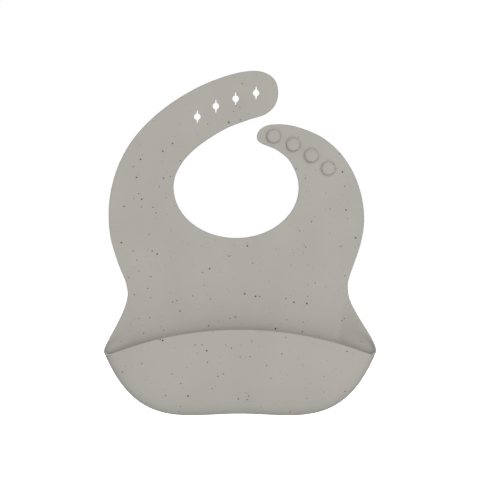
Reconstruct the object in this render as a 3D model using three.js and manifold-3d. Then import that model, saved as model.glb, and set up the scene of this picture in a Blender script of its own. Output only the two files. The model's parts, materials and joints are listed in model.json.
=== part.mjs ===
// A silicone baby bib with a moulded crumb pocket, upright as it is worn, with its straps open.
//
// Millimetres, +Z up. The regions are drawn lying flat: X runs across the bib, Y from the pocket to the neck
// straps, and the back of the sheet lies on Z = 0. The finished group is then stood up with its front to -Y,
// and its origin is on the bib's back, at the height of the middle of the neck opening.
//
// The real bib is one moulding. It is built here as its separate regions, divided where the silicone bends:
// each bend is a knuckle, a rounded end on one region that turns in a hollow end on the next.

import * as THREE from 'three';
import { mergeVertices } from 'three/addons/utils/BufferGeometryUtils.js';
import Module from 'manifold-3d';

const wasm = await Module();
wasm.setup();

// ---------------------------------------------------------------- driving dimensions

const SHEET = 2;                 // thickness of the silicone everywhere
const MID = SHEET / 2;           // height of the middle of the flat sheet
const GAP = 0.3;                 // space left between two regions that touch
const FOLD_GAP = 0.8;            // wider space at a bend that folds far
const SEAM = 0.6;                // half the space between two curved regions of the pocket
const FAR = 400;                 // longer than the bib, for cutting tools

const NECK = { x: -3.4, y: 48.25, rx: 54.4, ry: 43.75 };       // ellipse of the neck opening
const LENGTH_BELOW = 148.6;      // from y = 0 to the bottom edge; the straps reach 150 above it

const APRON_FOLD_Y = -24;        // line on which the pocket panel folds up over the chest
const STRAP_ROOT_Y = 30;         // line on which each strap leaves the chest

// Buttonholes: a round hole with a slit above and below it.
const HOLE = { r: 2.9, slitLength: 11.6, slitWidth: 1.4 };
const HOLES = [[-37.1, 110.1], [-21, 119.2], [-3.8, 125.7], [14, 130.7]];

// Studs: a round stem with a mushroom head, standing on the front of the other strap.
const STUD = { stem: 2.6, neck: 2, head: 6.1, crown: 2.2 };
const STUDS = [[29.3, 93.1], [46.5, 85.9], [62.1, 76.3], [76.8, 65.1]];

// Crumb pocket. Heights are of the middle of the silicone.
const WAIST = { '1': [94.3, -42], '-1': [-97.9, -42] };      // where each side wing leaves the sheet
const WING_PULL = {              // the handles of the curve along each wing's free edge
  '1': [[93.6, -57.5], [119.4, -84.2]],
  '-1': [[-95.7, -59.1], [-118.2, -87.2]],
};
const WING_RISE = 0.62;          // how far up to the corner's height the wing's lower handle is
const WING_ROOT = 3;             // width of a wing at the waist
const CREASE_FOOT = [87, -82];   // end of the crease between panel and wing
const CREASE_PULL = { share: 0.6, down: 12, out: 0.8, up: 14 };
const TROUGH = { halfWidth: 45, y: -134 };                   // straight bottom edge of the flat panel
const PANEL_CORNER_PULL = [[85, -112], [72, TROUGH.y]];
const CORNER = [116.1, -93.5, 18];                           // outermost point of the pocket
const CORNER_LAG = 0.4;                                      // slows the outline's start below the corner
const BOTTOM = { x: 42, y: 1 - LENGTH_BELOW, z: 14, dip: 1.4 }; // lowest outline of the pocket
const OUTLINE_PULL = [[97.1, -139.8, CORNER[2] - 2], [72, BOTTOM.y, BOTTOM.z]];
const LIP = { halfWidth: 113.1, y: -73.1, fall: 21.8, droop: 1.5, z: 31, drop: 8 };
const LIP_LEAN = 0.15;           // slope of the front wall at the lip
const LIP_PULL = 0.45;           // share of the front wall that leans so
const STEEP = { wing: 5.5, trough: 7.2, wallEnd: 3.5, wall: 13 };   // upright handles at the widest outline
const FULLY_STEEP = 5;           // handle from which a section meets the outline upright
const WING_SHARE = 0.45;         // how much of a gusset's length is the wing above the pocket's corner
const CORNER_SHARE = 0.4;        // share of the lip, on each side, that lies over a rounded corner

// ---------------------------------------------------------------- materials

const SILICONE = new THREE.MeshStandardMaterial({ color: 0xb2afa7, roughness: 0.62, metalness: 0 });

// ---------------------------------------------------------------- solids

/** A closed mesh as a manifold-3d solid. */
function solid(geometry) {
  const bare = geometry.index ? geometry.toNonIndexed() : geometry.clone();
  bare.deleteAttribute('normal');
  bare.deleteAttribute('uv');
  const merged = mergeVertices(bare, 1e-4);
  return new wasm.Manifold(new wasm.Mesh({
    numProp: 3,
    vertProperties: merged.attributes.position.array,
    triVerts: new Uint32Array(merged.index.array),
  }));
}

/** A solid back as a named mesh. */
function part(name, body) {
  const { vertProperties, triVerts } = body.getMesh();
  const geometry = new THREE.BufferGeometry();
  geometry.setAttribute('position', new THREE.BufferAttribute(vertProperties, 3));
  geometry.setIndex(new THREE.BufferAttribute(triVerts, 1));
  geometry.computeVertexNormals();
  const mesh = new THREE.Mesh(geometry, SILICONE.clone());
  mesh.name = name;
  return mesh;
}

/** A flat outline raised from z = low to z = high. */
function prism(shape, low, high) {
  const geometry = new THREE.ExtrudeGeometry(shape, {
    depth: high - low, bevelEnabled: false, curveSegments: 24,
  });
  return solid(geometry.translate(0, 0, low));
}

const polygon = (corners) => new THREE.Shape(corners.map(([x, y]) => new THREE.Vector2(x, y)));

// ---------------------------------------------------------------- curves of the outline

/** Points of a cubic Bezier curve, in two or three dimensions. */
function cubic(a, b, c, d, t) {
  const s = 1 - t;
  return a.map((_, i) => s * s * s * a[i] + 3 * s * s * t * b[i] + 3 * s * t * t * c[i] + t * t * t * d[i]);
}

const mix = (a, b, t) => a + (b - a) * t;
const between = (a, b, t) => a.map((v, i) => mix(v, b[i], t));
const smooth = (t) => t * t * (3 - 2 * t);
const mirrored = (side, points) => points.map(([x, ...rest]) => [side * x, ...rest]);

/** Adds a smooth curve through points to a path. The first and last points only give its end directions. */
function curveThrough(path, points) {
  const STEPS = 12;
  const curve = new THREE.SplineCurve(points.map(([x, y]) => new THREE.Vector2(x, y)));
  const spans = points.length - 1;
  for (let i = STEPS; i <= STEPS * (spans - 1); i++) {
    const { x, y } = curve.getPoint(i / (STEPS * spans));
    path.lineTo(x, y);
  }
}

/** The line where the flat panel ends and a side wing begins, from the waist down. t is 0 to 1. */
function crease(side, t) {
  const [x, y] = WAIST[side];
  const { share, down, out, up } = CREASE_PULL;
  const top = [x - side * WING_ROOT, y];
  const foot = [side * CREASE_FOOT[0], CREASE_FOOT[1]];
  return cubic(top, [mix(top[0], foot[0], share), y - down], [foot[0] + side * out, foot[1] + up], foot, t);
}

/** The rounded lower corner of the flat panel, from the end of the crease to the straight bottom edge. */
function panelCorner(side, t) {
  return cubic(...mirrored(side, [CREASE_FOOT, ...PANEL_CORNER_PULL, [TROUGH.halfWidth, TROUGH.y]]), t);
}

/** Outline of the whole flat sheet: both straps, the chest and the panel behind the pocket. */
function sheetOutline() {
  const neckAngle = ([x, y]) => Math.atan2((y - NECK.y) / NECK.ry, (x - NECK.x) / NECK.rx);
  const neckRight = [47.4, 63.9], neckLeft = [-56.6, 57.4];
  const shape = new THREE.Shape();
  shape.moveTo(...WAIST[1]);
  curveThrough(shape, [
    [94, -49.5], WAIST[1], [93.8, -36.8], [95.6, -28.2], [105.3, 0.6], [108, 24.6], [103, 50.9],
    [91, 73.9], [74.6, 90], [57.2, 98.7], [40.1, 103.1], [23.9, 102.5], [15.5, 96.2], [16.6, 88.1],
    [31.5, 81.3], [41.5, 73.5], neckRight, [50.5, 54],
  ]);
  shape.absellipse(NECK.x, NECK.y, NECK.rx, NECK.ry, neckAngle(neckRight), neckAngle(neckLeft), true);
  curveThrough(shape, [
    [-57.5, 43.5], neckLeft, [-48, 73], [-32.9, 86.9], [-12.3, 99.6], [6.9, 107.1], [23.3, 112.8],
    [32.1, 123.5], [32.4, 137.6], [25.3, 146.6], [11.6, 150], [-10.5, 146], [-38.8, 134.6],
    [-67.4, 116.3], [-91, 93.2], [-105.9, 67.6], [-113.5, 38.6], [-113.4, 9.3], [-107, -14.8],
    [-99.6, -33.5], WAIST[-1], [-96.9, -50],
  ]);
  const CURVE_STEPS = 14;
  for (let i = 0; i <= CURVE_STEPS; i++) shape.lineTo(...crease(-1, i / CURVE_STEPS));
  for (let i = 1; i <= CURVE_STEPS; i++) shape.lineTo(...panelCorner(-1, i / CURVE_STEPS));
  for (let i = CURVE_STEPS; i >= 0; i--) shape.lineTo(...panelCorner(1, i / CURVE_STEPS));
  for (let i = CURVE_STEPS - 1; i >= 0; i--) shape.lineTo(...crease(1, i / CURVE_STEPS));
  return shape;
}

// ---------------------------------------------------------------- bends

/** A bend: a straight line across the sheet through (x, y). Angle is the way the sheet goes on past it. */
function bend(x, y, angleDeg, gap = GAP) {
  return { x, y, angle: THREE.MathUtils.degToRad(angleDeg), gap };
}

/** The bends across a strap are spokes of the neck opening, given by their angle and their distance out. */
function spoke(angleDeg, distance, turn) {
  const a = THREE.MathUtils.degToRad(angleDeg);
  return bend(NECK.x + distance * Math.cos(a), NECK.y + distance * Math.sin(a), angleDeg + turn);
}

const APRON_FOLD = bend(0, APRON_FOLD_Y, -90, FOLD_GAP);
const HOLE_BENDS = [
  bend(-86, STRAP_ROOT_Y, 90), spoke(152, 74, -90), spoke(112, 72, -90), spoke(84.4, 79, -90),
];
const STUD_BENDS = [bend(79, STRAP_ROOT_Y, 90), bend(69.2, 71, 126.9), bend(37.4, 90.2, 160.7)];

/** Everything past a bend, and everything before it. */
function pastBend({ x, y, angle }, past = true) {
  const box = new THREE.BoxGeometry(FAR, 2 * FAR, FAR).translate(past ? FAR / 2 : -FAR / 2, 0, 0);
  return solid(box.rotateZ(angle).translate(x, y, 0));
}

/** The round bar on a bend's line, of the sheet's thickness plus a clearance. */
function knuckle({ x, y, angle }, clearance) {
  const radius = MID + clearance;
  const bar = new THREE.CylinderGeometry(radius, radius, FAR, 16);
  return solid(bar.rotateZ(angle).translate(x, y, MID));
}

/** The stretch of a strip from one bend to the next: hollow at its start and rounded at its end. */
function stretch(strip, start, end) {
  let piece = strip;
  if (start) piece = piece.intersect(pastBend(start)).subtract(knuckle(start, start.gap));
  if (!end) return piece;
  const nose = piece.intersect(knuckle(end, 0));
  return piece.intersect(pastBend(end, false)).add(nose);
}

// ---------------------------------------------------------------- flat regions

const sheet = HOLES.reduce((body, [x, y]) => {
  const round = solid(new THREE.CylinderGeometry(HOLE.r, HOLE.r, 3 * SHEET, 24).rotateX(Math.PI / 2));
  const slit = solid(new THREE.BoxGeometry(HOLE.slitWidth, HOLE.slitLength, 3 * SHEET));
  return body.subtract(round.add(slit).translate([x, y, MID]));
}, prism(sheetOutline(), 0, SHEET));

// The two straps, each taken from its root line up, with the line between their tips dividing them.
const ROOT_END = STRAP_ROOT_Y - 5;
const ABOVE_ROOTS = [[-FAR, ROOT_END], [NECK.x, ROOT_END], [NECK.x, 60], [0, 104], [40, 107], [60, FAR]];
const holeStrap = sheet.intersect(prism(polygon([...ABOVE_ROOTS, [-FAR, FAR]]), -FAR, FAR));
const studStrap = sheet.intersect(prism(polygon(
  [[FAR, ROOT_END], [FAR, FAR], ...ABOVE_ROOTS.slice(1).reverse()],
), -FAR, FAR));

function chestPanel() {
  const aboveFold = stretch(sheet, null, APRON_FOLD);
  const below = pastBend(HOLE_BENDS[0], false);
  const holeNose = holeStrap.intersect(knuckle(HOLE_BENDS[0], 0));
  const studNose = studStrap.intersect(knuckle(STUD_BENDS[0], 0));
  return aboveFold.intersect(below).add(holeNose).add(studNose);
}

function strap(name, strip, bends) {
  return bends.map((start, i) => part(`${name}_${i + 1}`, stretch(strip, start, bends[i + 1])));
}

/** A stud: its stem and mushroom head, turned about its own axis, with a domed crown. */
function stud(x, y, number) {
  const { stem, neck, head, crown } = STUD;
  const rim = SHEET + neck;
  const profile = [
    [0, SHEET], [stem + 0.5, SHEET], [stem, SHEET + 0.6], [stem, rim - 0.4], [stem + 0.4, rim],
    [head - 0.4, rim], [head, rim + 0.5], [head - 0.1, rim + 1.1], [head - 0.7, rim + 1.7],
    [head - 2, rim + crown - 0.15], [0, rim + crown],
  ].map(([r, z]) => new THREE.Vector2(r, z));
  const turned = new THREE.LatheGeometry(profile, 20).rotateX(Math.PI / 2);
  return part(`stud_${number}`, solid(turned).translate([x, y, 0]));
}

// ---------------------------------------------------------------- crumb pocket

/**
 * A shell of the sheet's thickness about a surface. surface(a, t) gives the middle of the silicone, a along
 * the pocket and t from the panel towards the lip, each from 0 to 1.
 */
function shell(surface, columns, rows) {
  const at = (a, t) => new THREE.Vector3(...surface(a, t));
  const STEP = 1e-3;
  const positions = [];
  for (const offset of [MID, -MID]) {
    for (let i = 0; i <= columns; i++) {
      for (let j = 0; j <= rows; j++) {
        const a = i / columns, t = j / rows;
        const along = at(Math.min(a + STEP, 1), t).sub(at(Math.max(a - STEP, 0), t));
        const up = at(a, Math.min(t + STEP, 1)).sub(at(a, Math.max(t - STEP, 0)));
        const normal = up.cross(along).normalize();
        positions.push(...at(a, t).addScaledVector(normal, offset).toArray());
      }
    }
  }
  const layer = (columns + 1) * (rows + 1);
  const vertex = (side, i, j) => side * layer + i * (rows + 1) + j;
  const faces = [];
  const quad = (a, b, c, d) => faces.push(a, b, c, a, c, d);
  for (let i = 0; i < columns; i++) {
    for (let j = 0; j < rows; j++) {
      quad(vertex(0, i, j), vertex(0, i, j + 1), vertex(0, i + 1, j + 1), vertex(0, i + 1, j));
      quad(vertex(1, i, j), vertex(1, i + 1, j), vertex(1, i + 1, j + 1), vertex(1, i, j + 1));
    }
    quad(vertex(0, i, 0), vertex(0, i + 1, 0), vertex(1, i + 1, 0), vertex(1, i, 0));
    quad(vertex(0, i + 1, rows), vertex(0, i, rows), vertex(1, i, rows), vertex(1, i + 1, rows));
  }
  for (let j = 0; j < rows; j++) {
    quad(vertex(0, 0, j + 1), vertex(0, 0, j), vertex(1, 0, j), vertex(1, 0, j + 1));
    quad(vertex(0, columns, j), vertex(0, columns, j + 1), vertex(1, columns, j + 1), vertex(1, columns, j));
  }
  const geometry = new THREE.BufferGeometry();
  geometry.setAttribute('position', new THREE.Float32BufferAttribute(positions, 3));
  geometry.setIndex(faces);
  const body = solid(geometry);
  if (body.volume() > 0) return body;
  geometry.setIndex(faces.reverse());
  return solid(geometry);
}

/** The pocket's widest outline, from the corner (t = 0) to its straight bottom (t = 1). */
function outlineCorner(side, t) {
  const paced = t * (1 - CORNER_LAG * (1 - t));
  return cubic(...mirrored(side, [CORNER, ...OUTLINE_PULL, [BOTTOM.x, BOTTOM.y, BOTTOM.z]]), paced);
}

/** The free edge of a side wing, from the waist (t = 0) to the pocket's corner (t = 1). */
function wingEdge(side, t) {
  const [x, y, z] = CORNER;
  const [first, last] = WING_PULL[side];
  return cubic([...WAIST[side], MID], [...first, MID], [...last, WING_RISE * z], [side * x, y, z], t);
}

/** t from 0 to 1, kept a seam's width away from the ends of a section that are joined to a neighbour. */
function withinSeams(from, to, t, jointAtEnd = true) {
  const trim = SEAM / Math.hypot(...to.map((v, i) => v - from[i]));
  return mix(trim, jointAtEnd ? 1 - trim : 1, t);
}

/** The curve from the panel to the pocket's widest outline: a trough if round, and a flat wing if not. */
function lowerSection(base, rim, round, handle, share) {
  const foot = [...base, MID];
  const t = withinSeams(foot, rim, share, round > 0);
  const OUT_SHARE = 0.55;
  const out = [mix(foot[0], rim[0], OUT_SHARE), mix(foot[1], rim[1], OUT_SHARE), MID];
  const first = between(between(foot, rim, 1 / 3), out, round);
  const upright = smooth(Math.min(handle / FULLY_STEEP, 1));
  const last = between(between(foot, rim, 2 / 3), [rim[0], rim[1], rim[2] - handle], upright);
  return cubic(foot, first, last, rim, t);
}

/** The curve from the pocket's widest outline to its lip. */
function wallSection(rim, lip, handle, share) {
  const t = withinSeams(rim, lip, share, false);
  const run = Math.hypot(lip[0] - rim[0], lip[1] - rim[1]);
  const height = lip[2] - LIP_LEAN * LIP_PULL * run;
  const last = [mix(lip[0], rim[0], LIP_PULL), mix(lip[1], rim[1], LIP_PULL), height];
  return cubic(rim, [rim[0], rim[1], rim[2] + handle], last, lip, t);
}

/** The bottom outline between the two corners, which rises a little at the middle. */
function bottomOutline(x) {
  const rise = BOTTOM.dip * (1 + Math.cos(Math.PI * x / BOTTOM.x)) / 2;
  return [x, BOTTOM.y + rise, BOTTOM.z];
}

/** A point of the lip, share being -1 at one end and 1 at the other. */
function lipPoint(share) {
  const y = LIP.y - LIP.fall * share ** 2 - LIP.droop * share ** 6;
  return [share * LIP.halfWidth, y, LIP.z - LIP.drop * share ** 2];
}

/** How steeply a wing meets its free edge: not at all above its middle, and fully at the pocket's corner. */
const wingHandle = (u) => STEEP.wing * smooth(Math.max(2 * u - 1, 0));

/** A side gusset: the wing beside the pocket's mouth and the rounded corner under it. */
function gusset(side) {
  const WING_START = 0.01;       // just below the waist, clear of the sheet
  return shell((a, t) => {
    if (a < WING_SHARE) {
      const u = mix(WING_START, 1, a / WING_SHARE);
      return lowerSection(crease(side, u), wingEdge(side, u), 0, wingHandle(u), t);
    }
    const v = (a - WING_SHARE) / (1 - WING_SHARE);
    const handle = mix(STEEP.wing, STEEP.trough, v);
    return lowerSection(panelCorner(side, v), outlineCorner(side, v), smooth(v), handle, t);
  }, 30, 8);
}

/** The rounded bottom of the pocket, between the two gussets. */
function trough() {
  return shell((a, t) => {
    const share = mix(-1, 1, a) * (1 - SEAM / TROUGH.halfWidth);
    const rim = bottomOutline(share * BOTTOM.x);
    return lowerSection([share * TROUGH.halfWidth, TROUGH.y], rim, 1, STEEP.trough, t);
  }, 10, 8);
}

/** The front wall of the pocket, from one corner to the other. */
function frontWall() {
  return shell((a, t) => {
    const share = mix(-1, 1, a);
    const side = Math.sign(share) || 1;
    const v = Math.min((1 - Math.abs(share)) / (1 - CORNER_SHARE), 1);
    const rim = Math.abs(share) > CORNER_SHARE
      ? outlineCorner(side, v)
      : bottomOutline(share / CORNER_SHARE * BOTTOM.x);
    return wallSection(rim, lipPoint(share), mix(STEEP.wallEnd, STEEP.wall, v), t);
  }, 40, 10);
}

// ---------------------------------------------------------------- assembly

const bib = new THREE.Group();
bib.add(
  part('chest_panel', chestPanel()),
  ...strap('hole_strap', holeStrap, HOLE_BENDS),
  ...strap('stud_strap', studStrap, STUD_BENDS),
  ...STUDS.map(([x, y], i) => stud(x, y, i + 1)),
  part('apron_panel', stretch(sheet, APRON_FOLD, null)),
  part('pocket_gusset_left', gusset(-1)),
  part('pocket_gusset_right', gusset(1)),
  part('pocket_trough', trough()),
  part('pocket_front_wall', frontWall()),
);

bib.rotation.x = Math.PI / 2;
bib.position.z = -NECK.y;

export default bib;
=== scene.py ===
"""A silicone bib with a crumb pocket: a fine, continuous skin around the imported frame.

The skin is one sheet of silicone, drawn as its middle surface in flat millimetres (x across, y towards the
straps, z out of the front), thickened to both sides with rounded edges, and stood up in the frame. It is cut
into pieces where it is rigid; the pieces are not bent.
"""

import json
import math

import bpy
import numpy as np
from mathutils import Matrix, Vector
from mathutils.geometry import delaunay_2d_cdt

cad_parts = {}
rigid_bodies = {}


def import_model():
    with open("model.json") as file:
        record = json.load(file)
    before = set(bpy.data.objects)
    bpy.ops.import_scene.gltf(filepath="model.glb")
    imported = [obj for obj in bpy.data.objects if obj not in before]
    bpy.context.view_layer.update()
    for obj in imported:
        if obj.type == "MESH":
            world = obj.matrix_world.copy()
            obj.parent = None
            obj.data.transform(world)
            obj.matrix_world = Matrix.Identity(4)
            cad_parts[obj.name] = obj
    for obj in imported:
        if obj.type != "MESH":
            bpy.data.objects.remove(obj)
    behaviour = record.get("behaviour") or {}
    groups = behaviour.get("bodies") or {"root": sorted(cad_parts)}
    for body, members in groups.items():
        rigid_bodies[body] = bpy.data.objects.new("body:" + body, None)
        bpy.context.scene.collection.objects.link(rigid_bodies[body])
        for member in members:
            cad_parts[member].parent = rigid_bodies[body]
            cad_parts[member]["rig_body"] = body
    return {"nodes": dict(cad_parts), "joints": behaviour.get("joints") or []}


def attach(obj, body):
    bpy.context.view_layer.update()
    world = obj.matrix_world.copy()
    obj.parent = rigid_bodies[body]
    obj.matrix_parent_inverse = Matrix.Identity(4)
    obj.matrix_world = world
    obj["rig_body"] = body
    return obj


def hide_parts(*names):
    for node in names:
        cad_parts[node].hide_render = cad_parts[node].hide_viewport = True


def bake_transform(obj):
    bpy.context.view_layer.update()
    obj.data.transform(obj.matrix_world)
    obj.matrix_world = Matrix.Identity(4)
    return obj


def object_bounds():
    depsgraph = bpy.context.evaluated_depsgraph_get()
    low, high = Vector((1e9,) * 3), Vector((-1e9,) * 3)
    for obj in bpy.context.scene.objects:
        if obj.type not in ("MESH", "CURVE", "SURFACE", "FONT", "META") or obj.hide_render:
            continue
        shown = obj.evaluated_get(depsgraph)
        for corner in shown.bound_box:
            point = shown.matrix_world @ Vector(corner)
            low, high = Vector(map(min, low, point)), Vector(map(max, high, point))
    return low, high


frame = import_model()
cad_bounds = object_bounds()

# ---------------------------------------------------------------- dimensions, in millimetres

HALF = 1.0                        # half the thickness of the silicone
EDGE_ROUND = 0.95                 # radius on the free edges
HOLE_ROUND = 0.35                 # radius on the edges of the buttonholes
EDGE_STEP = 1.5                   # spacing of points along the free edges
GRID_STEP = 3.0                   # spacing of points inside the flat sheet

NECK = np.array([-3.4, 48.25])    # middle of the neck opening
NECK_RADII = (54.4, 43.75)

WAIST = {1: (94.3, -42.0), -1: (-97.9, -42.0)}
WING_PULL = {1: [(93.6, -57.5), (119.4, -84.2)], -1: [(-95.7, -59.1), (-118.2, -87.2)]}
WING_ROOT = 3.0
WING_RISE = 0.62                  # how much of the corner's height the wing's edge has at its last handle
WING_ROUNDNESS = 0.2
CREASE_FOOT = (87.0, -82.0)
CREASE_INWARD, CREASE_DOWN = 0.6, 12.0      # handle at the top of the crease
CREASE_OUTWARD, CREASE_UP = 0.8, 14.0       # handle at its foot
TROUGH_HALF, TROUGH_Y = 45.0, -134.0
PANEL_CORNER_PULL = [(85.0, -112.0), (72.0, TROUGH_Y)]
CORNER = (116.1, -93.5, 18.0)
CORNER_LAG = 0.4
BOTTOM_X, BOTTOM_Y, BOTTOM_Z, BOTTOM_DIP = 42.0, -147.6, 14.0, 1.4
OUTLINE_PULL = [(97.1, -139.8), (72.0, BOTTOM_Y)]
LIP_HALF, LIP_Y, LIP_FALL, LIP_DROOP, LIP_Z, LIP_DROP = 113.1, -73.1, 21.8, 1.5, 31.0, 8.0
LIP_PULL, LIP_LEAN = 0.45, 0.15
STEEP_WING, STEEP_TROUGH, STEEP_WALL_END, STEEP_WALL = 5.5, 7.2, 3.5, 13.0
FULLY_STEEP = 5.0                 # a section with this handle or more reaches the outline along z

HOLES = [(-37.1, 110.1), (-21.0, 119.2), (-3.8, 125.7), (14.0, 130.7)]
STUDS = {
    "stud_1": (29.3, 93.1),
    "stud_2": (46.5, 85.9),
    "stud_3": (62.1, 76.3),
    "stud_4": (76.8, 65.1),
}
CHEST_TOP, APRON_TOP = 10.0, -41.0     # cuts straight across the sheet
STUD_ROOT_TOP = 44.0                   # cut across the root of the strap with the studs


# ---------------------------------------------------------------- curves

def mix(a, b, t):
    return a + (b - a) * t


def smooth(t):
    t = min(max(t, 0.0), 1.0)
    return t * t * (3 - 2 * t)


def cubic(a, b, c, d, t):
    """A point of a cubic Bezier curve."""
    a, b, c, d = (np.array(p, float) for p in (a, b, c, d))
    s = 1 - t
    return s * s * s * a + 3 * s * s * t * b + 3 * s * t * t * c + t * t * t * d


def spline(points, steps=24):
    """Points of a smooth curve. The first and last given points only set its directions at its ends."""
    p = np.array(points, float)
    found = [p[1]]
    for before, start, end, after in zip(p, p[1:], p[2:], p[3:]):
        v0, v1 = (end - before) / 2, (after - start) / 2
        for k in range(1, steps + 1):
            t = k / steps
            found.append(
                (2 * start - 2 * end + v0 + v1) * t ** 3
                + (-3 * start + 3 * end - 2 * v0 - v1) * t ** 2
                + v0 * t + start
            )
    return np.array(found)


def arc(x, y, rx, ry, start, end, steps=96):
    """Points of an arc of an ellipse. Angles are in radians, and end may be less than start."""
    angles = np.linspace(start, end, steps + 1)
    return np.column_stack([x + rx * np.cos(angles), y + ry * np.sin(angles)])


def evenly(points, step):
    """The same open line, with points a step apart or a little less."""
    lengths = np.hypot(*np.diff(points, axis=0).T)
    along = np.concatenate([[0], np.cumsum(lengths)])
    wanted = np.linspace(0, along[-1], max(int(math.ceil(along[-1] / step)), 2) + 1)
    return np.column_stack([np.interp(wanted, along, points[:, k]) for k in range(2)])


def drawn_in(points, distance, closed=False):
    """The line moved to its left by a distance."""
    if closed:
        ahead, behind = np.roll(points, -1, 0), np.roll(points, 1, 0)
    else:
        ahead, behind = np.vstack([points[1:], points[-1:]]), np.vstack([points[:1], points[:-1]])
    along = ahead - behind
    along /= np.hypot(*along.T)[:, None]
    return points + distance * np.column_stack([-along[:, 1], along[:, 0]])


# ---------------------------------------------------------------- outline of the flat sheet

def neck_angle(x, y):
    return math.atan2((y - NECK[1]) / NECK_RADII[1], (x - NECK[0]) / NECK_RADII[0])


def free_outline():
    """The free edge, anticlockwise, from the right waist over both straps to the left waist."""
    right, left = (47.4, 63.9), (-56.6, 57.4)
    stud_strap = spline([
        (94, -49.5), WAIST[1], (93.8, -36.8), (95.6, -28.2), (105.3, 0.6), (108, 24.6), (103, 50.9),
        (91, 73.9), (74.6, 90), (57.2, 98.7), (40.1, 103.1), (23.9, 102.5), (15.5, 96.2), (16.6, 88.1),
        (31.5, 81.3), (41.5, 73.5), right, (50.5, 54),
    ])
    opening = arc(*NECK, *NECK_RADII, neck_angle(*right), neck_angle(*left) - 2 * math.pi, 240)
    hole_strap = spline([
        (-57.5, 43.5), left, (-48, 73), (-32.9, 86.9), (-12.3, 99.6), (6.9, 107.1), (23.3, 112.8),
        (32.1, 123.5), (32.4, 137.6), (25.3, 146.6), (11.6, 150), (-10.5, 146), (-38.8, 134.6),
        (-67.4, 116.3), (-91, 93.2), (-105.9, 67.6), (-113.5, 38.6), (-113.4, 9.3), (-107, -14.8),
        (-99.6, -33.5), WAIST[-1], (-96.9, -50),
    ])
    whole = np.vstack([stud_strap, opening[1:], hole_strap[1:]])
    return drawn_in(evenly(whole, EDGE_STEP), EDGE_ROUND)


def hole_outline(x, y):
    """A buttonhole, clockwise so that the material is on its left: a round hole with two tapering slits."""
    radius, half_mouth = 2.88, 0.7
    slit = [(0.0, 5.8), (0.33, 5.55), (0.42, 5.0)]
    mouth = math.acos(half_mouth / radius)
    round_part = arc(0, 0, radius, radius, mouth, 0, 10)
    quarter = np.vstack([slit, round_part])
    below = quarter[::-1][1:] * (1, -1)
    right_half = np.vstack([quarter, below])
    left_half = right_half[::-1][1:-1] * (-1, 1)
    closed = np.vstack([right_half, left_half, right_half[:1]])
    points = evenly(closed, 0.4)[:-1]
    return drawn_in(points, HOLE_ROUND, closed=True) + (x, y)


# ---------------------------------------------------------------- crumb pocket

def crease(side, t):
    x, y = WAIST[side]
    top_x = x - side * WING_ROOT
    foot_x, foot_y = side * CREASE_FOOT[0], CREASE_FOOT[1]
    first = (mix(top_x, foot_x, CREASE_INWARD), y - CREASE_DOWN)
    last = (foot_x + side * CREASE_OUTWARD, foot_y + CREASE_UP)
    return cubic((top_x, y), first, last, (foot_x, foot_y), t)


def panel_corner(side, t):
    line = [CREASE_FOOT, *PANEL_CORNER_PULL, (TROUGH_HALF, TROUGH_Y)]
    return cubic(*[(side * x, y) for x, y in line], t)


def outline_corner(side, t):
    z = CORNER[2]
    paced = t * (1 - CORNER_LAG * (1 - t))
    first, last = OUTLINE_PULL
    line = [CORNER, (*first, z - 2), (*last, BOTTOM_Z), (BOTTOM_X, BOTTOM_Y, BOTTOM_Z)]
    return cubic(*[(side * a, b, c) for a, b, c in line], paced)


def wing_edge(side, t):
    x, y, z = CORNER
    first, last = WING_PULL[side]
    return cubic((*WAIST[side], HALF), (*first, HALF), (*last, WING_RISE * z), (side * x, y, z), t)


def bottom_outline(x):
    rise = BOTTOM_DIP * (1 + math.cos(math.pi * x / BOTTOM_X)) / 2
    return np.array([x, BOTTOM_Y + rise, BOTTOM_Z])


def lip_point(share):
    y = LIP_Y - LIP_FALL * share ** 2 - LIP_DROOP * share ** 6
    return np.array([share * LIP_HALF, y, LIP_Z - LIP_DROP * share ** 2])


def lower_section(base, rim, roundness, handle, t):
    """From the panel to the pocket's widest outline."""
    FLAT_SHARE = 0.55              # how far out a round section has its first handle
    foot = np.array([*base, HALF])
    out = np.array([*(foot[:2] + FLAT_SHARE * (rim[:2] - foot[:2])), HALF])
    below = rim - (0, 0, handle)
    first = mix(mix(foot, rim, 1 / 3), out, roundness)
    last = mix(mix(foot, rim, 2 / 3), below, smooth(min(handle / FULLY_STEEP, 1)))
    return cubic(foot, first, last, rim, t)


def wall_section(rim, lip, handle, t):
    """From the pocket's widest outline to its lip."""
    run = math.hypot(*(lip - rim)[:2])
    last = np.array([*mix(lip[:2], rim[:2], LIP_PULL), lip[2] - LIP_LEAN * LIP_PULL * run])
    return cubic(rim, rim + (0, 0, handle), last, lip, t)


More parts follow.
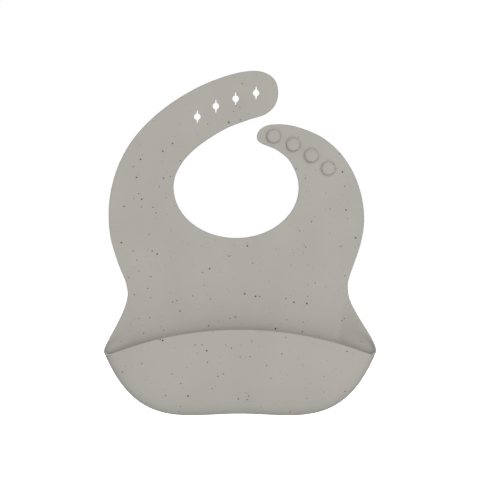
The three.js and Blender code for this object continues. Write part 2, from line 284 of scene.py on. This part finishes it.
def pocket_columns():
    """The sections of the pocket, from the right waist round the bottom to the left waist.

    Each one is (base, rim, roundness, handle, lip, wall_handle), and lip is None on the wings.
    """
    WINGS, CORNERS, MIDDLE = 28, 44, 60
    CORNER_SHARE = 0.4

    def wing(side):
        for i in range(WINGS):
            u = i / WINGS
            handle = STEEP_WING * smooth(2 * u - 1)
            yield crease(side, u), wing_edge(side, u), WING_ROUNDNESS, handle, None, 0

    def corner(side):
        for i in range(CORNERS):
            v = i / CORNERS
            lip = lip_point(side * (1 - (1 - CORNER_SHARE) * v))
            roundness = mix(WING_ROUNDNESS, 1, smooth(v))
            handle = mix(STEEP_WING, STEEP_TROUGH, v)
            wall_handle = mix(STEEP_WALL_END, STEEP_WALL, v)
            yield panel_corner(side, v), outline_corner(side, v), roundness, handle, lip, wall_handle

    right = [*wing(1), *corner(1)]
    left = [*wing(-1), *corner(-1)]
    middle = []
    for i in range(MIDDLE + 1):
        share = mix(1, -1, i / MIDDLE)
        base = np.array([share * TROUGH_HALF, TROUGH_Y])
        lip = lip_point(share * CORNER_SHARE)
        middle.append((base, bottom_outline(share * BOTTOM_X), 1, STEEP_TROUGH, lip, STEEP_WALL))
    return [*right, *middle, *left[::-1]]


def pocket_surface():
    """Points and triangles of the pocket's middle surface, and the points along which it leaves the panel."""
    LOWER_ROWS, WALL_ROWS = 14, 32
    # The inset of a wing's edge shrinks to nothing over the last fifth of the way to the corner.
    TAPER_FROM, TAPER_SHARE = 0.8, 0.2
    points, lines = [], []
    columns = pocket_columns()
    waist_y, corner_y = WAIST[1][1], CORNER[1]
    taper_y = mix(waist_y, corner_y, TAPER_FROM)
    taper_length = TAPER_SHARE * (waist_y - corner_y)
    for base, rim, roundness, handle, lip, wall_handle in columns:
        foot = np.array([*base, HALF])
        inset = 0.0
        if lip is None:
            inset = EDGE_ROUND * (1 - smooth((taper_y - rim[1]) / taper_length))
        reach = 1 - inset / np.linalg.norm(rim - foot)
        section = [lower_section(base, rim, roundness, handle, reach * j / LOWER_ROWS)
                   for j in range(LOWER_ROWS + 1)]
        if lip is not None:
            wall_reach = 1 - EDGE_ROUND / np.linalg.norm(lip - rim)
            section += [wall_section(rim, lip, wall_handle, wall_reach * k / WALL_ROWS)
                        for k in range(1, WALL_ROWS + 1)]
        lines.append(range(len(points), len(points) + len(section)))
        points += section
    triangles = []
    for here, there in zip(lines, lines[1:]):
        for j in range(min(len(here), len(there)) - 1):
            triangles.append((here[j], there[j + 1], here[j + 1]))
            triangles.append((here[j], there[j], there[j + 1]))
    first, last = list(lines[0]), list(lines[-1])
    joint = first[::-1] + [line[0] for line in lines[1:-1]] + last
    return np.array(points), triangles, joint


# ---------------------------------------------------------------- the whole middle surface

def spoke(degrees, inner=30.0, outer=130.0):
    """A cut across a strap, as a line out from the middle of the neck opening."""
    a = math.radians(degrees)
    direction = np.array([math.cos(a), math.sin(a)])
    return NECK + inner * direction, NECK + outer * direction


HOLE_CUTS = [172.0, 132.0, 97.7]
STUD_CUT = 30.0
STRAP_SPLIT = (12.0, 105.0)       # the strap with the holes lies left of this x or above this y


def piece_of(x, y):
    """The piece of the skin that a point of the flat sheet belongs to."""
    if y < APRON_TOP:
        return "apron_and_pocket"
    if y < CHEST_TOP:
        return "chest"
    below = -90.0                  # straight down, where the angles round the neck start and end
    angle = (math.degrees(math.atan2(y - NECK[1], x - NECK[0])) - below) % 360 + below
    if x < STRAP_SPLIT[0] or y > STRAP_SPLIT[1]:
        names = ["hole_strap_root", "hole_strap_side", "hole_strap_top", "hole_strap_end"]
        return names[sum(angle < cut for cut in HOLE_CUTS)]
    if y < STUD_ROOT_TOP:
        return "stud_strap_root"
    return "stud_strap_middle" if angle < STUD_CUT else "stud_strap_end"


def inside(points, loops):
    """Which points lie in the sheet, by counting the edges to their right."""
    x, y = points[:, 0], points[:, 1]
    crossings = np.zeros(len(points), int)
    for loop in loops:
        for (ax, ay), (bx, by) in zip(loop, np.roll(loop, -1, 0)):
            spans = (ay > y) != (by > y)
            if spans.any():
                at = ax + (y - ay) * (bx - ax) / ((by - ay) or 1e-12)
                crossings += spans & (at > x)
    return crossings % 2 == 1


def grid_points(loops):
    """A triangular grid of points inside the sheet, kept off its edges."""
    CLEARANCE = 0.45 * GRID_STEP
    row = GRID_STEP * math.sqrt(3) / 2
    low, high = loops[0].min(0), loops[0].max(0)
    found = []
    for k, y in enumerate(np.arange(low[1], high[1], row)):
        shift = GRID_STEP / 2 * (k % 2)
        found += [(x, y) for x in np.arange(low[0] + shift, high[0], GRID_STEP)]
    found = np.array(found)
    found = found[inside(found, loops)]
    edge = np.vstack(loops)
    nearest = np.array([np.min(np.hypot(*(edge - p).T)) for p in found])
    return found[nearest > CLEARANCE]


def middle_surface():
    """Points and triangles of the whole middle surface, and the name of each triangle's piece."""
    pocket, pocket_triangles, joint = pocket_surface()
    joined = pocket[joint][::-1, :2]
    outline = np.vstack([free_outline()[1:-1], joined])
    loops = [outline] + [hole_outline(x, y) for x, y in HOLES]
    points, edges = [], []
    for loop in loops:
        start = len(points)
        points += [tuple(p) for p in loop]
        edges += [(start + i, start + (i + 1) % len(loop)) for i in range(len(loop))]
    cuts = [((-130, APRON_TOP), (130, APRON_TOP)), ((-130, CHEST_TOP), (130, CHEST_TOP))]
    cuts += [((30, STUD_ROOT_TOP), (130, STUD_ROOT_TOP)), spoke(STUD_CUT, 30, 75)]
    cuts += [spoke(angle) for angle in HOLE_CUTS]
    for start, end in cuts:
        edges.append((len(points), len(points) + 1))
        points += [tuple(start), tuple(end)]
    points += [tuple(p) for p in grid_points(loops)]
    made = delaunay_2d_cdt([Vector(p) for p in points], edges, [], 0, 1e-5, False)
    flat = np.array([tuple(v) for v in made[0]], float)
    faces = np.array(made[2])
    faces = faces[inside(flat[faces].mean(1), loops)]
    used = np.unique(faces)
    renumber = np.full(len(flat), -1)
    renumber[used] = np.arange(len(used))
    flat, faces = flat[used], renumber[faces]
    names = [piece_of(*centre) for centre in flat[faces].mean(1)]

    place = {}
    for index in joint:
        place[index] = int(np.argmin(np.hypot(*(flat - pocket[index, :2]).T)))
    fresh = [i for i in range(len(pocket)) if i not in place]
    for k, index in enumerate(fresh):
        place[index] = len(flat) + k
    points = np.vstack([np.column_stack([flat, np.full(len(flat), HALF)]), pocket[fresh]])
    pocket_faces = [tuple(place[i] for i in triangle) for triangle in pocket_triangles]
    pocket_faces = [f for f in pocket_faces if len(set(f)) == 3]
    names += ["apron_and_pocket"] * len(pocket_faces)
    return points, np.vstack([faces, pocket_faces]), names


# ---------------------------------------------------------------- thickness and rounded edges

def point_normals(points, faces):
    """A normal for each point, weighted by the angles of the triangles round it."""
    normals = np.zeros_like(points)
    corners = points[faces]
    face_normals = np.cross(corners[:, 1] - corners[:, 0], corners[:, 2] - corners[:, 0])
    face_normals /= np.maximum(np.linalg.norm(face_normals, axis=1), 1e-12)[:, None]
    for k in range(3):
        a = corners[:, (k + 1) % 3] - corners[:, k]
        b = corners[:, (k + 2) % 3] - corners[:, k]
        cosine = (a * b).sum(1) / np.maximum(np.linalg.norm(a, axis=1) * np.linalg.norm(b, axis=1), 1e-12)
        np.add.at(normals, faces[:, k], face_normals * np.arccos(np.clip(cosine, -1, 1))[:, None])
    return normals / np.linalg.norm(normals, axis=1)[:, None]


def in_frame(points):
    """Flat millimetres stood up in the frame, in metres."""
    p = np.asarray(points, float)
    return np.stack([p[..., 0], -p[..., 2], p[..., 1] - NECK[1]], -1) / 1000


def stood_up(direction):
    d = np.asarray(direction, float)
    return np.stack([d[..., 0], -d[..., 2], d[..., 1]], -1)


def is_hole_edge(point):
    REACH = 8.0
    return any(math.hypot(point[0] - x, point[1] - y) < REACH for x, y in HOLES)


class Skin:
    """The thick sheet, gathered face by face and sorted into its pieces."""

    def __init__(self, points, faces, names):
        self.middle, self.faces, self.names = points, faces, names
        self.normals = point_normals(points, faces)
        self.points = [*(points + HALF * self.normals), *(points - HALF * self.normals)]
        self.point_normals = [*self.normals, *(-self.normals)]
        self.pieces = {}
        self.closed_ends = set()
        for (a, b, c), name in zip(faces, names):
            shift = len(points)
            self.add(name, (a, b, c))
            self.add(name, (c + shift, b + shift, a + shift))

    def add(self, name, face, flat_normal=None):
        self.pieces.setdefault(name, []).append((face, flat_normal))

    def edges(self):
        """Each directed edge of the middle surface and the piece of its triangle."""
        owner = {}
        for face, name in zip(self.faces, self.names):
            for k in range(3):
                owner[int(face[k]), int(face[(k + 1) % 3])] = name
        return owner

    def profile(self, index, outward):
        """The points from front to back round a free edge at one point of the middle surface."""
        STEPS = 5
        middle, normal = self.middle[index], self.normals[index]
        radius = HOLE_ROUND if is_hole_edge(middle) else EDGE_ROUND
        ring = [index]
        front = (HALF - radius, range(1, STEPS + 1))
        back = (radius - HALF, range(STEPS, 2 * STEPS))
        for centre, angles in (front, back):
            for step in angles:
                angle = math.pi / 2 * step / STEPS
                direction = math.sin(angle) * outward + math.cos(angle) * normal
                ring.append(len(self.points))
                self.points.append(middle + centre * normal + radius * direction)
                self.point_normals.append(direction)
        ring.append(index + len(self.middle))
        return ring

    def close(self):
        """Rounds every free edge, and closes the cut faces between the pieces."""
        owner = self.edges()
        free = [edge for edge in owner if edge[::-1] not in owner]
        outward = {}
        for a, b in free:
            along = self.middle[b] - self.middle[a]
            for index in (a, b):
                out = np.cross(along, self.normals[index])
                outward[index] = outward.get(index, 0) + out / np.linalg.norm(out)
        rings = {index: self.profile(index, out / np.linalg.norm(out)) for index, out in outward.items()}
        for a, b in free:
            for k in range(len(rings[a]) - 1):
                face = (rings[a][k], rings[a][k + 1], rings[b][k + 1], rings[b][k])
                self.add(owner[a, b], face)
        shift = len(self.middle)
        for (a, b), name in owner.items():
            other = owner.get((b, a), name)
            if other == name:
                continue
            out = np.cross(self.middle[b] - self.middle[a], self.normals[a])
            self.add(name, (a, a + shift, b + shift, b), out / np.linalg.norm(out))
            for index in (a, b):
                if index in rings:
                    self.close_ring(name, index, rings[index], out / np.linalg.norm(out))

    def close_ring(self, name, index, ring, normal):
        """The end of a rounded edge, where a cut runs out through it."""
        if (name, index) in self.closed_ends:
            return
        self.closed_ends.add((name, index))
        sign = np.dot(np.cross(self.points[ring[1]] - self.points[ring[0]],
                               self.points[ring[-1]] - self.points[ring[0]]), normal)
        self.add(name, tuple(ring) if sign > 0 else tuple(ring[::-1]), normal)

    def build(self, name):
        """A Blender object of one piece, with the normals of the whole skin."""
        entries = self.pieces[name]
        used = sorted({int(i) for face, _ in entries for i in face})
        number = {index: k for k, index in enumerate(used)}
        mesh = bpy.data.meshes.new(name)
        places = in_frame(np.array([self.points[i] for i in used]))
        corners = [[number[int(i)] for i in face] for face, _ in entries]
        mesh.from_pydata([tuple(p) for p in places], [], corners)
        mesh.shade_smooth()
        normals = []
        for face, flat in entries:
            normals += [stood_up(self.point_normals[int(i)] if flat is None else flat) for i in face]
        mesh.normals_split_custom_set([tuple(n) for n in normals])
        return new_piece(name, mesh)


def remember_place(mesh):
    """Keeps each point's place at rest, so that the speckles stay with the silicone as it bends."""
    places = np.zeros(len(mesh.vertices) * 3, np.float32)
    mesh.vertices.foreach_get("co", places)
    mesh.attributes.new("mould_place", "FLOAT_VECTOR", "POINT").data.foreach_set("vector", places)


def new_piece(name, mesh):
    piece = bpy.data.objects.new(name, mesh)
    bpy.context.scene.collection.objects.link(piece)
    remember_place(mesh)
    mesh.materials.append(SILICONE)
    return piece


# ---------------------------------------------------------------- silicone

def node(tree, kind, **settings):
    made = tree.nodes.new("ShaderNode" + kind)
    for key, value in settings.items():
        if key.startswith("in_"):
            made.inputs[key[3:].replace("_", " ")].default_value = value
        else:
            setattr(made, key, value)
    return made


def speckles(tree, place, spacing, radius, seed):
    """A mask of round grains in the silicone: 1 inside a grain. Spacing and radius are in metres."""
    moved = node(tree, "VectorMath", operation="ADD")
    moved.inputs[1].default_value = (seed, seed * 0.37, seed * 0.71)
    tree.links.new(place, moved.inputs[0])
    cells = node(tree, "TexVoronoi", in_Scale=1 / spacing, in_Randomness=1.0)
    tree.links.new(moved.outputs[0], cells.inputs["Vector"])
    reach = radius / spacing
    mask = node(tree, "MapRange", interpolation_type="SMOOTHSTEP")
    mask.inputs["From Min"].default_value = reach
    mask.inputs["From Max"].default_value = reach * 0.45
    tree.links.new(cells.outputs["Distance"], mask.inputs["Value"])
    return mask.outputs["Result"]


def painted(tree, under, mask, strength, colour):
    """Lays a colour over another one where the mask is, at a strength from 0 to 1."""
    amount = node(tree, "Math", operation="MULTIPLY")
    amount.inputs[1].default_value = strength
    tree.links.new(mask, amount.inputs[0])
    over = node(tree, "Mix", data_type="RGBA")
    over.inputs["B"].default_value = (*colour, 1)
    tree.links.new(amount.outputs[0], over.inputs["Factor"])
    tree.links.new(under, over.inputs["A"])
    return over.outputs["Result"]


def silicone_material():
    material = bpy.data.materials.new("speckled_silicone")
    material.use_nodes = True
    tree = material.node_tree
    shader = tree.nodes["Principled BSDF"]
    shader.inputs["Specular IOR Level"].default_value = 0.32
    shader.inputs["Sheen Weight"].default_value = 0.06
    shader.inputs["Sheen Roughness"].default_value = 0.5
    place = node(tree, "Attribute", attribute_name="mould_place").outputs["Vector"]

    cloud = node(tree, "TexNoise", in_Scale=22.0, in_Detail=3.0)
    tree.links.new(place, cloud.inputs["Vector"])
    base = node(tree, "ValToRGB")
    base.color_ramp.elements[0].position = 0.35
    base.color_ramp.elements[0].color = (0.438, 0.421, 0.380, 1)
    base.color_ramp.elements[1].position = 0.65
    base.color_ramp.elements[1].color = (0.455, 0.440, 0.400, 1)
    tree.links.new(cloud.outputs["Fac"], base.inputs["Fac"])
    colour = base.outputs["Color"]

    layers = [
        (0.0110, 0.00105, 3.1, 1.00, (0.055, 0.05, 0.045)),
        (0.0082, 0.00080, 7.7, 0.90, (0.09, 0.085, 0.075)),
        (0.0054, 0.00055, 1.9, 0.65, (0.13, 0.12, 0.105)),
        (0.0095, 0.00060, 5.3, 0.45, (0.62, 0.60, 0.56)),
    ]
    for spacing, radius, seed, strength, grain in layers:
        mask = speckles(tree, place, spacing, radius, seed)
        colour = painted(tree, colour, mask, strength, grain)
    tree.links.new(colour, shader.inputs["Base Color"])

    touch = node(tree, "TexNoise", in_Scale=60.0, in_Detail=4.0)
    tree.links.new(place, touch.inputs["Vector"])
    rough = node(tree, "MapRange")
    rough.inputs["To Min"].default_value = 0.52
    rough.inputs["To Max"].default_value = 0.68
    tree.links.new(touch.outputs["Fac"], rough.inputs["Value"])
    tree.links.new(rough.outputs["Result"], shader.inputs["Roughness"])

    grain = node(tree, "TexNoise", in_Scale=2600.0, in_Detail=2.0)
    tree.links.new(place, grain.inputs["Vector"])
    bump = node(tree, "Bump", in_Strength=0.12, in_Distance=0.00006)
    tree.links.new(grain.outputs["Fac"], bump.inputs["Height"])
    tree.links.new(bump.outputs["Normal"], shader.inputs["Normal"])
    return material


SILICONE = silicone_material()


# ---------------------------------------------------------------- studs

def stud(name, x, y):
    """A mushroom stud moulded on the front of the strap: a filleted stem under a low round head."""
    SEGMENTS = 72
    # Radii, and heights above the front of the strap. The stem starts SUNK inside the strap.
    STEM, FILLET, SUNK = 2.6, 0.9, 0.3
    UNDER, RIM_X, RIM_Z, RIM = 2.0, 5.5, 2.6, 0.6
    APEX, CROWN_FALL, CROWN_RADIUS = 4.15, 0.95, 5.8
    top = 2 * HALF
    fillet = [(STEM + FILLET * (1 - math.sin(a)), top + FILLET * (1 - math.cos(a)))
              for a in np.linspace(0, math.pi / 2, 6)]
    under = [(STEM, top + 1.6), (2.9, top + 1.9), (3.5, top + UNDER), (RIM_X, top + UNDER)]
    rim = [(RIM_X + RIM * math.cos(a), top + RIM_Z + RIM * math.sin(a))
           for a in np.linspace(-math.pi / 2, math.radians(60), 9)]
    crown = [(r, top + APEX - CROWN_FALL * (r / CROWN_RADIUS) ** 4)
             for r in (5.3, 4.6, 3.7, 2.7, 1.6, 0.7)]
    profile = [(STEM + FILLET, top - SUNK), *fillet, *under, *rim[1:], *crown]
    vertices, faces = [], []
    for r, z in profile:
        for k in range(SEGMENTS):
            a = 2 * math.pi * k / SEGMENTS
            vertices.append((x + r * math.cos(a), y + r * math.sin(a), z))
    for i in range(len(profile) - 1):
        for k in range(SEGMENTS):
            here, there = i * SEGMENTS, (i + 1) * SEGMENTS
            after = (k + 1) % SEGMENTS
            faces.append((here + k, here + after, there + after, there + k))
    last = (len(profile) - 1) * SEGMENTS
    vertices += [(x, y, top - SUNK), (x, y, top + APEX)]
    bottom, apex = len(vertices) - 2, len(vertices) - 1
    for k in range(SEGMENTS):
        after = (k + 1) % SEGMENTS
        faces.append((bottom, after, k))
        faces.append((apex, last + k, last + after))
    mesh = bpy.data.meshes.new(name)
    mesh.from_pydata([tuple(p) for p in in_frame(np.array(vertices))], [], faces)
    mesh.shade_smooth()
    return new_piece(name, mesh)


# ---------------------------------------------------------------- the skin in place of the frame's parts, and the studs on its bodies

JOINTS = {joint["name"]: joint for joint in frame["joints"]}


def bend(piece, joint_name, child_below=False):
    """Works out a joint's middle, its axis and the child's side of the hinge, uses none of them, and only
    bakes the piece's place into its mesh; the piece is not bent. How far a bend would reach to each side, in
    metres (half_width), is not passed in.

    The child's side of a hinge is the side that its axis gives, or the other side if the child hangs below.
    """
    joint = JOINTS[joint_name]
    middle, axis = Vector(joint["pos_m"]), Vector(joint["axis"])
    along = Vector((0, 1, 0)).cross(axis)
    if child_below:
        along = -along
    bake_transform(piece)


def place_skin():
    skin = Skin(*middle_surface())
    skin.close()
    pieces = {name: skin.build(name) for name in skin.pieces}
    WIDE, NARROW, APRON = 0.010, 0.006, 0.014
    bends = {
        "hole_strap_root": ("hole_strap_bend_1", WIDE),
        "hole_strap_side": ("hole_strap_bend_2", WIDE),
        "hole_strap_top": ("hole_strap_bend_3", NARROW),
        "hole_strap_end": ("hole_strap_bend_4", NARROW),
        "stud_strap_root": ("stud_strap_bend_1", WIDE),
        "stud_strap_middle": ("stud_strap_bend_2", NARROW),
        "stud_strap_end": ("stud_strap_bend_3", NARROW),
    }
    for name, (joint_name, half_width) in bends.items():
        bend(pieces[name], joint_name)
    bend(pieces["chest"], "apron_fold", child_below=True)
    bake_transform(pieces["apron_and_pocket"])

    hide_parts("chest_panel")
    pocket_nodes = ["pocket_trough", "pocket_gusset_left", "pocket_gusset_right", "pocket_front_wall"]
    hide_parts("apron_panel", *pocket_nodes)
    for number, name in enumerate(["root", "side", "top", "end"], 1):
        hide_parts(f"hole_strap_{number}")
    for number, name in enumerate(["root", "middle", "end"], 1):
        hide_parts(f"stud_strap_{number}")


def place_studs():
    for name, (x, y) in STUDS.items():
        piece = stud(name + "_moulded", x, y)
        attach(piece, frame["nodes"][name]["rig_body"])
        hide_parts(name)


place_skin()
place_studs()


# ---------------------------------------------------------------- studio

def floor():
    """A wide pale floor, far enough under the bib to be out of its own view."""
    BELOW = 0.075
    size = 6.0
    low = cad_bounds[0][2] - BELOW
    mesh = bpy.data.meshes.new("studio_floor")
    corners = [(-size, -size, low), (size, -size, low), (size, size, low), (-size, size, low)]
    mesh.from_pydata(corners, [], [(0, 1, 2, 3)])
    piece = bpy.data.objects.new("studio_floor", mesh)
    bpy.context.scene.collection.objects.link(piece)
    material = bpy.data.materials.new("pale_floor")
    material.use_nodes = True
    shader = material.node_tree.nodes["Principled BSDF"]
    shader.inputs["Base Color"].default_value = (0.93, 0.93, 0.93, 1)
    shader.inputs["Roughness"].default_value = 0.9
    shader.inputs["Emission Color"].default_value = (1, 1, 1, 1)
    shader.inputs["Emission Strength"].default_value = 1.0
    mesh.materials.append(material)
    piece.visible_diffuse = False


def light(name, place, target, size, watts):
    data = bpy.data.lights.new(name, "AREA")
    data.shape = "DISK"
    data.size = size
    data.energy = watts
    lamp = bpy.data.objects.new(name, data)
    bpy.context.scene.collection.objects.link(lamp)
    lamp.location = place
    lamp.rotation_euler = (Vector(target) - Vector(place)).to_track_quat("-Z", "Y").to_euler()


def studio():
    """A white surround with dimmer even light from it, and large soft lamps in front."""
    SURROUND_LIGHT = 0.26
    scene = bpy.context.scene
    world = bpy.data.worlds.new("studio")
    scene.world = world
    world.use_nodes = True
    tree = world.node_tree
    background = tree.nodes["Background"]
    background.inputs["Color"].default_value = (1, 1, 1, 1)
    strength = node(tree, "MapRange")
    strength.inputs["To Min"].default_value = SURROUND_LIGHT
    strength.inputs["To Max"].default_value = 1.0
    tree.links.new(node(tree, "LightPath").outputs["Is Camera Ray"], strength.inputs["Value"])
    tree.links.new(strength.outputs["Result"], background.inputs["Strength"])
    middle = (0, 0, -0.05)
    light("front", (0.15, -2.0, -0.15), middle, 2.0, 41.5)
    light("key", (0.8, -1.5, 1.1), middle, 0.9, 3.2)
    light("back", (0.0, 2.0, 0.6), middle, 2.0, 24.0)
    scene.view_settings.view_transform = "Standard"


def camera():
    """Straight on, far off, with the bib a little below the middle of the picture."""
    scene = bpy.context.scene
    data = bpy.data.cameras.new("camera")
    data.lens = 120
    data.sensor_width = 36
    made = bpy.data.objects.new("camera", data)
    scene.collection.objects.link(made)
    low, high = cad_bounds
    DISTANCE, ABOVE_MIDDLE = 1.394, 0.002
    made.location = (0, -DISTANCE, (low[2] + high[2]) / 2 + ABOVE_MIDDLE)
    made.rotation_euler = (math.pi / 2, 0, 0)
    scene.camera = made


floor()
studio()
camera()
